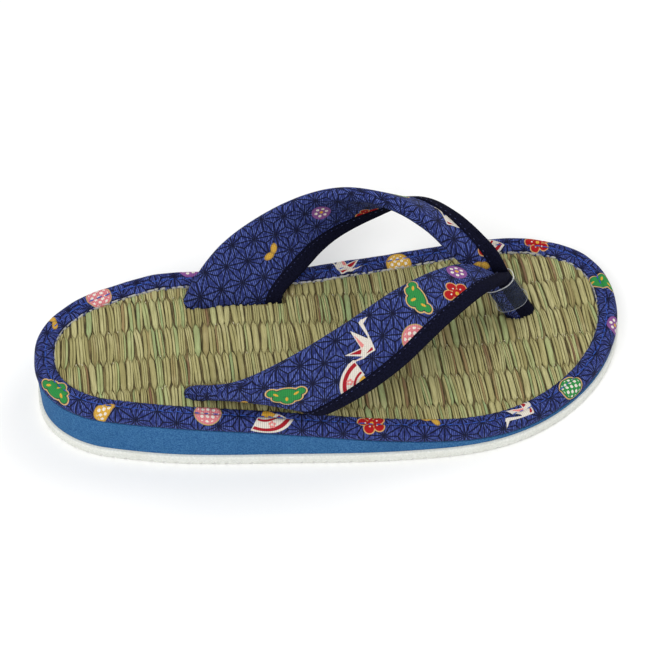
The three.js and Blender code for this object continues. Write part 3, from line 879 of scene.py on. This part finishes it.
def band_points(arm, s, upper, extra, apart=0.0):
    """Points of the band: s across from the bead, on its upper or lower face, extra thicker.

    The half thickness is a circle before the bead's middle and falls smoothly to the edge's. In
    the post the lower face becomes half of a superellipse. Both arms stop at the post's middle
    plane and on the foam.
    """
    width = arm["width"][:, None]
    post = arm["post"][:, None]
    round_rear = np.sqrt(np.maximum(0, BEAD_RADIUS ** 2 - np.minimum(s, 0) ** 2))
    pad = np.where(s < 0, round_rear, mix(BEAD_RADIUS, EDGE_THICK / 2, ease(s / (width - BINDING_WIDE))))
    over = np.maximum(0, (s - width + EDGE_ROUND) / EDGE_ROUND)
    pad = pad * np.maximum(EDGE_BLUNT, np.sqrt(np.maximum(0, 1 - over ** 2)))
    centre = (width - BEAD_RADIUS) / 2
    radius = (width + BEAD_RADIUS) / 2
    oval = np.maximum(0, 1 - np.abs((s - centre) / radius) ** POST_OVAL) ** (1 / POST_OVAL)
    high = mix(pad, POST_THICK / 4 + GAP / 2, post) + extra
    low = mix(pad, oval * POST_THICK / 2 - POST_THICK / 4, post) + extra
    height = np.where(upper, high, -low)
    place = (arm["rear"][:, None] + arm["across"][:, None] * s[..., None]
             + arm["face"][:, None] * height[..., None])
    plane = POST_TOP[1] + arm["side"] * apart
    held = np.minimum if arm["side"] < 0 else np.maximum
    place[..., 1] = held(place[..., 1], plane)
    place[..., 2] = np.maximum(place[..., 2], foam_top(place[..., 0]) + GAP)
    return place


def flat_cut(arm):
    """The band laid flat: where each section starts in the plane, and its direction.

    Each step of the rear and front edge is split into its share along the section and across it,
    and the section turns by the difference of the shares across over the width.
    """
    slides, strides = [], []
    for edge in (arm["rear"], arm["rear"] + arm["across"] * arm["width"][:, None]):
        step = np.diff(edge, axis=0)
        slides.append(np.sum(step * arm["across"][:-1], axis=1))
        strides.append(np.sqrt(np.maximum(0, np.sum(step ** 2, axis=1) - slides[-1] ** 2)))
    angle = np.concatenate([[0], np.cumsum((strides[0] - strides[1]) / arm["width"][:-1])])
    ahead = np.column_stack([np.cos(angle), np.sin(angle)])
    rising = np.column_stack([-np.sin(angle), np.cos(angle)])
    steps = strides[0][:, None] * ahead[:-1] + slides[0][:, None] * rising[:-1]
    return np.vstack([[0, 0], np.cumsum(steps, axis=0)]), rising, angle


# Where the figures lie on each face: share of the arm's length, distance from the bead, and turn
FIGURES = {
    (-1, "upper"): [
        (sprout, 0.115, 9.0, 30), (pine, 0.19, 12.0, 60), (fan, 0.30, 21.0, 150),
        (paper_crane, 0.375, 9.0, 160), (ball("pink"), 0.455, 18.5, 0), (pine, 0.53, 5.5, 115),
        (blossom, 0.60, 13.5, 20), (small_flowers, 0.665, 4.0, 0),
    ],
    (-1, "lower"): [(ball("pink"), 0.2, 9.0, 0), (pine, 0.4, 13.0, 0), (blossom, 0.58, 6.0, 0)],
    (1, "upper"): [
        (blossom, 0.2, 12.0, 0), (pine, 0.36, 18.0, 0), (ball("green"), 0.5, 10.0, 0),
        (paper_crane, 0.635, 9.0, 20), (blossom, 0.73, 12.5, 0), (sprout, 0.76, 3.0, 60),
        (pine, 0.82, 9.0, 200),
    ],
    (1, "lower"): [
        (sprout, 0.17, 16.0, 10), (ball("yellow"), 0.235, 31.0, 0), (small_flowers, 0.33, 8.0, 0),
        (blossom, 0.395, 23.0, 12), (ball("green"), 0.50, 12.0, 0), (pine, 0.60, 4.0, 190),
        (sprout, 0.68, 12.0, 40),
    ],
}
# The cloth's edge lies under the tape. The seam beside the tape pulls it in, and the slot
# gathers it.
STRAP_TUCK = 4.4
SEAM_ASIDE = 0.6
SEAM_DEEP = 0.45
SEAM_WIDE = 1.1
GATHER_HIGH = 0.25
GATHER_LONG = 14


def on_cloth(arm, face, across):
    """Places on the flat cloth, and the figures' distances there, for one face of an arm."""
    origin, rising, angle = flat_cut(arm)
    flat = origin[:, None] + rising[:, None] * across[..., None]
    share = np.linspace(0, 1, len(origin))
    placed = []
    for draw, at, off, spin in FIGURES[arm["side"], face]:
        centre = [np.interp(at, share, origin[:, k] + rising[:, k] * off) for k in (0, 1)]
        placed.append((draw, centre, np.degrees(np.interp(at, share, angle)) + spin))
    ground = turned(flat[..., 0], flat[..., 1], -GROUND_TURN[arm["side"], face])
    return np.stack(ground, axis=-1), paint(flat, placed)


def strap_arm(name, arm, material):
    """Printed cloth round one padded arm, from under the binding, round the bead and back.

    Each face has its own flat piece of cloth, and the two are sewn where the bead reaches
    furthest back. A bell curve beside the tape pulls the cloth in, two crossing sines make it
    soft, and a sine across the band that fades away from the mat gathers it.
    """
    count_top, count_low = 64, 44
    width, post = arm["width"][:, None], arm["post"][:, None]
    end = width - STRAP_TUCK
    phi = np.linspace(-np.pi / 2, np.pi / 2, 13)[1:-1]
    round_s = np.tile(-BEAD_RADIUS * np.cos(phi), (len(end), 1))
    s = np.hstack([end * np.linspace(1, 0, count_low), round_s, end * np.linspace(0, 1, count_top)])
    bead = np.zeros(s.shape[1], bool)
    bead[count_low:-count_top] = True
    round_bead = np.zeros(s.shape[1])
    round_bead[bead] = phi
    upper = np.arange(s.shape[1]) >= count_low + (len(phi) + 1) // 2
    along = np.linspace(0, arm["length"], len(end))[:, None]
    border = np.where(upper, TAPE_UPPER, mix(TAPE_LOWER, TAPE_POST, post))
    sewn = -SEAM_DEEP * np.exp(-((s - width + border + SEAM_ASIDE) / SEAM_WIDE) ** 2)
    soft = 0.12 * np.sin(along / 7 + s / 9) + 0.08 * np.sin(along / 3.1 - s / 4)
    gather = GATHER_HIGH * np.exp(-along / GATHER_LONG) * np.sin(s * 0.9)
    grid = band_points(arm, s, upper[None], (sewn + (soft + gather) * (s > 0)) * (1 - post))
    flats, prints = zip(*(
        on_cloth(arm, face, np.where(bead, -BEAD_RADIUS * (np.pi / 2 + way * round_bead), s))
        for face, way in (("upper", -1), ("lower", 1))))
    start = np.where(upper[:, None], *flats)
    stop = np.where(upper[:, None], *(np.roll(flat, -1, axis=1) for flat in flats))
    layers = {key: np.where(upper, *(layer[key] for layer in prints)) for key in PRINT_LAYERS}
    return shell(name, grid, material, uv=(start, stop), floats=layers)


# Tape: its thickness over the cloth, the pucker along it, how deep its stitches pull it in, and
# how far inside its border. In the post it is pressed thinner, and the two tapes lie apart.
TAPE_THICK = 0.34
TAPE_PUCKER = 0.07
TAPE_SINK = 0.14
SINK_ASIDE = 0.8
TAPE_THIN_POST = 0.35
TAPES_APART = 0.12
# Its stitches: pitch, height, and whether a line of them is on the upper face and how far it is
# from the fold
TAPE_STITCH_PITCH = 2.7
STITCH_HIGH = 0.22
STITCH_LINES = [(True, TAPE_UPPER - 0.75), (False, TAPE_LOWER - 1.5)]


def binding(name, arm, material):
    """Tape folded over the front edge: a step above the cloth, rounded over the edge."""
    width, post = arm["width"][:, None], arm["post"][:, None]
    round_edge = EDGE_ROUND * np.cos(np.linspace(0, np.pi / 2, 6))[1:]
    low_wide = mix(TAPE_LOWER, TAPE_POST, post)
    top = np.concatenate([np.linspace(TAPE_UPPER, EDGE_ROUND, 11), round_edge])
    down = np.tile(np.concatenate([top, round_edge[::-1][1:]]), (len(width), 1))
    away = np.hstack([down, mix(EDGE_ROUND, low_wide, np.linspace(0, 1, 14))])
    upper = np.arange(away.shape[1]) < len(top)
    border = np.where(upper, TAPE_UPPER, low_wide)
    along = np.linspace(0, arm["length"], len(width))[:, None]
    fold = TAPE_THICK * ease(away / 2.0) + TAPE_PUCKER * np.sin(along / 2.7) * ease(away / 3.0)
    fold = fold - TAPE_SINK * np.exp(-((away - border + SINK_ASIDE) / 0.5) ** 2)
    thick = fold * mix(1, TAPE_THIN_POST, post)
    return shell(name, band_points(arm, width - away, upper[None], thick, apart=TAPES_APART), material)


def binding_stitches(name, arm, material):
    """Short stitches on both faces of the tape, inside its border, from the mat up to the post."""
    pick = np.linspace(0, len(arm["width"]) - 1, int(arm["length"] / TAPE_STITCH_PITCH)).astype(int)
    pick = pick[arm["post"][pick] < 0.5]
    high = STITCH_HIGH * (1 - arm["post"][:, None])
    middles = [band_points(arm, arm["width"][:, None] - inside, np.array([[upper]]), high)[pick, 0]
               for upper, inside in STITCH_LINES]
    ahead = np.tile(arm["tangent"][pick], (2, 1))
    up = np.vstack([arm["face"][pick], -arm["face"][pick]])
    return stitches(name, np.vstack(middles), ahead, up, material, long=1.0, radius=0.2,
                    sink=random.uniform(0.02, 0.24, len(ahead)))


# Tube round the post: rounding of its edges, and where its sides' sections start
TUBE_ROUND = 0.15
TUBE_START = 0.4


def sleeve():
    """Clear tube round the post: a superellipse ring cut square at both ends, edges rounded."""
    turn = np.linspace(0, 2 * np.pi, 97)[:-1]
    forward, aside = (np.sign(v) * np.abs(v) ** (2 / POST_OVAL) for v in (np.cos(turn), np.sin(turn)))
    middle = np.linspace(TUBE_START, SLEEVE_LONG - TUBE_START, 14)
    side = np.concatenate([[TUBE_ROUND], middle, [SLEEVE_LONG - TUBE_ROUND]])
    depth = np.concatenate([side, [SLEEVE_LONG, SLEEVE_LONG], side[::-1], [0.0, 0.0]])[:, None]
    cut = [SLEEVE_WALL - TUBE_ROUND, TUBE_ROUND]
    wall = np.concatenate([0 * side + SLEEVE_WALL, cut, 0 * side, cut[::-1]])[:, None] + GAP
    rings = (POST_TOP + POST_AXIS * depth[..., None]
             + POST_FRONT * (forward * (POST_WIDE / 2 + wall))[..., None]
             + np.array([0, 1.0, 0]) * (aside * (POST_THICK / 2 + wall))[..., None])
    outside = wall > GAP + SLEEVE_WALL / 2
    at_end = (depth <= TUBE_ROUND) | (depth >= SLEEVE_LONG - TUBE_ROUND)
    # The tube's ends carry a painted highlight, and its outer wall a veil of haze with painted reflection
    return shell("post_tube", rings, clear_vinyl(), closed=True,
                 floats={"painted_end_highlight": outside & at_end, "haze_and_painted_reflection": outside})


# Rush mat. Ribs stand along the rows and columns of spindles lie between them. A rib is one to
# three stems side by side, and each stem a flat spindle.
RIBS = np.arange(2, 81)
COLUMNS = np.arange(-4, 4)
STEM_SECTIONS = 12
STEM_POINTS = 5
STEMS_OF_RIB = [1, 2, 2, 3, 3]
SPINDLE_HALF = 9.3
TAPER_START = 0.6
TAPER = 0.88
TIP_UNEVEN = 0.8
TIP_FALL = 0.35
RIB_WIDE = 2.55
RIB_CROWN = 0.3
# A stem's half width is a little over half its share of the rib, so that neighbours touch
STEM_HALF = 0.54
STEM_LOW = 0.85
STEM_SHORTEST = 1.5
# Stems reach under the rim's cloth, and dip where they do
STEM_TUCK = 1.0
TUCK_DIP = 0.5
TUCK_LONG = 2.5
# The mat's body lies under the stems, and both sink at the slots
CORE_LOW = 1.15
CORE_SINK = 2.7
STEM_SINK = 3.2
# Half widths of a slot at its rear and front end and of the post's hole, which is this far down
# the post
SLOT_HALF = (3.6, 2.0)
SLOT_SOFT = 0.8
HOLE_LONG = 7.0
HOLE_WIDE = 4.4
HOLE_DEPTH = 20
# Middle and spread of how ribs differ, and spreads of how their stems differ
RIB_MOVE = (0, 0.14)
RIB_BOW = (0.3, 0.2)
RIB_LEAN = (0, 0.28)
RIB_LIFT = (0, 0.06)
RIB_TONE = (0.5, 0.15)
RIB_FULL = (0.94, 1.08)
STEM_SHARES = (0.6, 1.4)
STEM_LIFT = (0, 0.03)
STEM_TONE = (0, 0.1)
# A stem's height over its sides: with no width, and what its half width adds
STEM_TALL = (0.28, 0.22)
# Shares of stems that are brown and green
BROWN_SHARE = 0.06
GREEN_SHARE = 0.14
# Ends of the warp thread, the stretch of the mat that has them, and how far they stray and lie
THREAD_ENDS = 90
THREAD_REACH = (14, 232)
THREAD_STRAY = 0.5
THREAD_LOW = 0.25


def slot_share(x, y):
    """1 in the straps' slots and the post's hole in the mat, falling to 0 just outside them."""
    share = 0 * x
    for rows in (OUTER_ARM, INNER_ARM):
        (ax, ay, _), (bx, by, _) = rows[0]
        go = np.array([bx - ax, by - ay])
        at = np.clip(((x - ax) * go[0] + (y - ay) * go[1]) / (go @ go), 0, 1)
        off = np.hypot(x - ax - at * go[0], y - ay - at * go[1])
        share = np.maximum(share, ease((mix(*SLOT_HALF, at) - off) / SLOT_SOFT))
    foot = POST_TOP + POST_AXIS * HOLE_DEPTH
    off = np.hypot((x - foot[0]) / HOLE_LONG, (y - foot[1]) / HOLE_WIDE)
    return np.maximum(share, ease((1.05 - off) * 5))


def rush_stems():
    """Rush stems: flat spindles between the row lines, one to three side by side to a rib.

    q runs from -1 to 1 along a rib. A rib keeps its width to 0.6 of its half length and then
    narrows to a point by a smooth step. It bows with 1 less q squared and leans with q. Its
    stems' sections are half sines, highest in the rib's middle. Ribs of neighbouring columns are
    half a pitch apart, so their tips interlock.
    """
    c, r = (a.ravel() for a in np.meshgrid(COLUMNS, RIBS, indexing="ij"))
    stems = random.choice(STEMS_OF_RIB, len(c))
    weight = random.uniform(*STEM_SHARES, (len(c), 3)) * (np.arange(3) < stems[:, None])
    total = weight.sum(axis=1)[:, None]
    wide, edge = weight / total, np.cumsum(weight, axis=1) / total
    rib_x = r * RIB_PITCH + (c % 2) * RIB_PITCH / 2 + random.normal(*RIB_MOVE, len(c))
    rib_bow = random.normal(*RIB_BOW, len(c))
    rib_lean = random.normal(*RIB_LEAN, len(c))
    rib_full = random.uniform(*RIB_FULL, len(c))
    rib_tone = random.normal(*RIB_TONE, len(c))
    rib_lift = random.normal(*RIB_LIFT, len(c))
    rib, k = np.nonzero(weight)
    lateral = edge[rib, k] - wide[rib, k] / 2 - 0.5
    x = rib_x[rib]
    middle = ROW_CENTRE + (c[rib] + 0.5) * ROW_PITCH
    _, low_y, high_y = sides(RIM_WIDE - STEM_TUCK, x)
    start = np.maximum(middle - SPINDLE_HALF + random.normal(0, TIP_UNEVEN, len(x)), low_y)
    end = np.minimum(middle + SPINDLE_HALF + random.normal(0, TIP_UNEVEN, len(x)), high_y)
    heel, toe = sides(RIM_WIDE - STEM_TUCK, np.array([-LENGTH, 2 * LENGTH]))[0]
    kept = (end - start > STEM_SHORTEST) & (x > heel + 0.5) & (x < toe - 0.5)
    rib, lateral, share, x, middle, start, end = (
        a[kept, None] for a in (rib, lateral, wide[rib, k], x, middle, start, end))
    y = mix(start, end, np.linspace(0, 1, STEM_SECTIONS))
    q = np.clip((y - middle) / SPINDLE_HALF, -1, 1)
    taper = 1 - TAPER * ease((np.abs(q) - TAPER_START) / (1 - TAPER_START))
    span = RIB_WIDE * rib_full[rib] * taper
    centre = x + lateral * span + (rib_bow[rib] * (1 - q ** 2) + rib_lean[rib] * q)
    half = share * span * STEM_HALF
    crown = RIB_CROWN * (1 - (2 * lateral) ** 2)
    dip = TUCK_DIP * ease(1 - np.minimum(y - start, end - y) / TUCK_LONG) * (np.abs(q) < 0.97)
    base = (foam_top(centre) + MAT_THICK - STEM_LOW + crown - TIP_FALL * (1 - taper) - dip
            - STEM_SINK * slot_share(centre, y) + rib_lift[rib] + random.normal(*STEM_LIFT, x.shape))
    turn = np.linspace(np.pi, 0, STEM_POINTS)
    arch = 1.7 * np.sin(turn) - 0.7
    tall = STEM_TALL[0] + STEM_TALL[1] * half
    points = np.stack(np.broadcast_arrays(
        centre[..., None] + half[..., None] * np.cos(turn), y[..., None],
        base[..., None] + tall[..., None] * arch), axis=-1)
    tone = np.clip(rib_tone[rib] + random.normal(*STEM_TONE, x.shape), 0.16, 0.82)
    special = random.random(x.shape)
    brown = (special < BROWN_SHARE) & (share < 0.6)
    tone = np.where(brown, random.uniform(0.0, 0.15, x.shape), tone)
    tone = np.where(special > 1 - GREEN_SHARE, random.uniform(0.8, 1.0, x.shape), tone)
    # Painted shade on the stems' lower sides, growing towards their tips
    low = np.where(arch < -0.5, 0.75, 0.0) + 0.45 * (1 - taper[..., None]) ** 2
    return shell("rush_stems", points, rush_stem(), sharp=180,
                 floats={"tone": tone[..., None], "low": np.clip(low, 0, 1)})


def rush_core():
    """The mat's body under its stems, sunk where the straps and the post go through."""
    x, low_y, high_y = sides(RIM_WIDE + GAP, bunched(240) * LENGTH)
    y = mix(low_y[:, None], high_y[:, None], np.linspace(0, 1, 90))
    wide = np.broadcast_to(x[:, None], y.shape)
    top = foam_top(wide) + MAT_THICK - CORE_LOW - CORE_SINK * slot_share(wide, y)
    upper = np.stack([wide, y, top], axis=-1)
    foot = np.stack([wide[:, [-1, 0]], y[:, [-1, 0]], foam_top(wide[:, [-1, 0]]) + GAP / 2], axis=-1)
    return shell("rush_core", np.concatenate([upper, foot], axis=1), mat_core())


def row_threads():
    """Ends of the warp thread that show between the stems here and there on the row lines."""
    x = random.uniform(*THREAD_REACH, THREAD_ENDS)
    row = random.integers(-2, 3, THREAD_ENDS)
    y = ROW_CENTRE + row * ROW_PITCH + random.normal(0, THREAD_STRAY, THREAD_ENDS)
    _, low_y, high_y = sides(RIM_WIDE + 3, x)
    kept = (y > low_y) & (y < high_y) & (slot_share(x, y) < 0.01)
    places = np.column_stack([x, y, foam_top(x) + MAT_THICK - THREAD_LOW])[kept]
    lean = random.normal(0, THREAD_STRAY, len(places))
    along = np.column_stack([lean, 1 + 0 * lean, 0 * lean])
    thread = sewing_thread("hemp_warp", "#A8A080", "#D2CBAE")
    return stitches("row_threads", places, along, UPWARD, thread, long=0.9, radius=0.2)


# The pieces, with the node that each one replaces and its material slot
arms = {"outer": arm_frame(OUTER_ARM, -1), "inner": arm_frame(INNER_ARM, 1)}
strap_cloth = printed_cotton("printed_cotton_strap", "#1F2861", "#2B3673", "#5565A9", "Y")
tape = navy_tape()
tape_thread = sewing_thread("tape_thread", "#0A0F30", "#18265E")

pieces = [
    (outsole(), "outsole", "outsole_foam"),
    (midsole(), "midsole", "midsole_foam"),
    (rim(), "rim", "printed_cloth"),
    (rim_stitches(), "rim", "printed_cloth"),
    (rush_core(), "rush_mat", "rush"),
    (rush_stems(), "rush_mat", "rush"),
    (row_threads(), "rush_mat", "rush"),
]
for side, arm in arms.items():
    pieces.append((strap_arm(f"strap_{side}", arm, strap_cloth), "strap", "printed_cloth"))
for side, arm in arms.items():
    pieces.append((binding(f"tape_{side}", arm, tape), f"binding_{side}", "navy_tape"))
for side, arm in arms.items():
    sewn_line = binding_stitches(f"tape_stitches_{side}", arm, tape_thread)
    pieces.append((sewn_line, f"binding_{side}", "navy_tape"))
pieces.append((sleeve(), "post_sleeve", "clear_vinyl"))

for piece, node, slot in pieces:
    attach(piece, "root")
    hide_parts(node)

# Studio: half the floor's side, the soft boxes' side, and their places and powers, in metres and
# watts
FLOOR_HALF = 4.0
LAMP_WIDE = 0.8
LAMPS = {"key_box": ((-0.5, -0.7, 1.1), 9), "fill_box": ((0.8, 0.5, 0.9), 4)}
SKY_LIGHT = 0.75


def studio_floor():
    """Plain pale paper."""
    mesh = bpy.data.meshes.new("floor")
    h = FLOOR_HALF
    mesh.from_pydata([(-h, -h, 0), (h, -h, 0), (h, h, 0), (-h, h, 0)], [], [(0, 1, 2, 3)])
    mesh.materials.append(finish(new_material("studio_paper"), "#F6F6F5", 0.9))
    put("floor", mesh)


def studio():
    """White sky and two square soft boxes that face the sandal."""
    scene = bpy.context.scene
    world = bpy.data.worlds.new("studio")
    world.use_nodes = True
    sky = world.node_tree.nodes["Background"]
    sky.inputs["Color"].default_value = (1, 1, 1, 1)
    sky.inputs["Strength"].default_value = SKY_LIGHT
    scene.world = world
    for name, (place, power) in LAMPS.items():
        light = bpy.data.lights.new(name, "AREA")
        light.size = LAMP_WIDE
        light.energy = power
        box = put(name, light)
        box.location = place
        box.rotation_euler = (-Vector(place)).to_track_quat("-Z", "Y").to_euler()
    scene.view_settings.view_transform = "Standard"


# Camera at the photo's angle to the sandal, found by fitting the sole's outline
CAMERA_AZIMUTH = -8.32
CAMERA_ELEVATION = 51.55
CAMERA_ROLL = 0.22
CAMERA_DISTANCE = 751.68
CAMERA_AIM = np.array([120.79, 14.96, 10.0])
CAMERA_LENS = 98.43


def camera():
    a, e = np.radians([CAMERA_AZIMUTH, CAMERA_ELEVATION])
    back = np.array([np.sin(a) * np.cos(e), -np.cos(a) * np.cos(e), np.sin(e)])
    data = bpy.data.cameras.new("camera")
    data.lens = CAMERA_LENS
    data.sensor_width = 36.0
    data.clip_start = 0.05
    eye = put("camera", data)
    eye.location = (CAMERA_AIM + SHIFT + back * CAMERA_DISTANCE) * MM
    aim = Vector(-back).to_track_quat("-Z", "Y").to_matrix()
    eye.rotation_euler = (aim @ Matrix.Rotation(np.radians(CAMERA_ROLL), 3, "Z")).to_euler()
    bpy.context.scene.camera = eye


studio_floor()
studio()
camera()

bpy.context.view_layer.update()
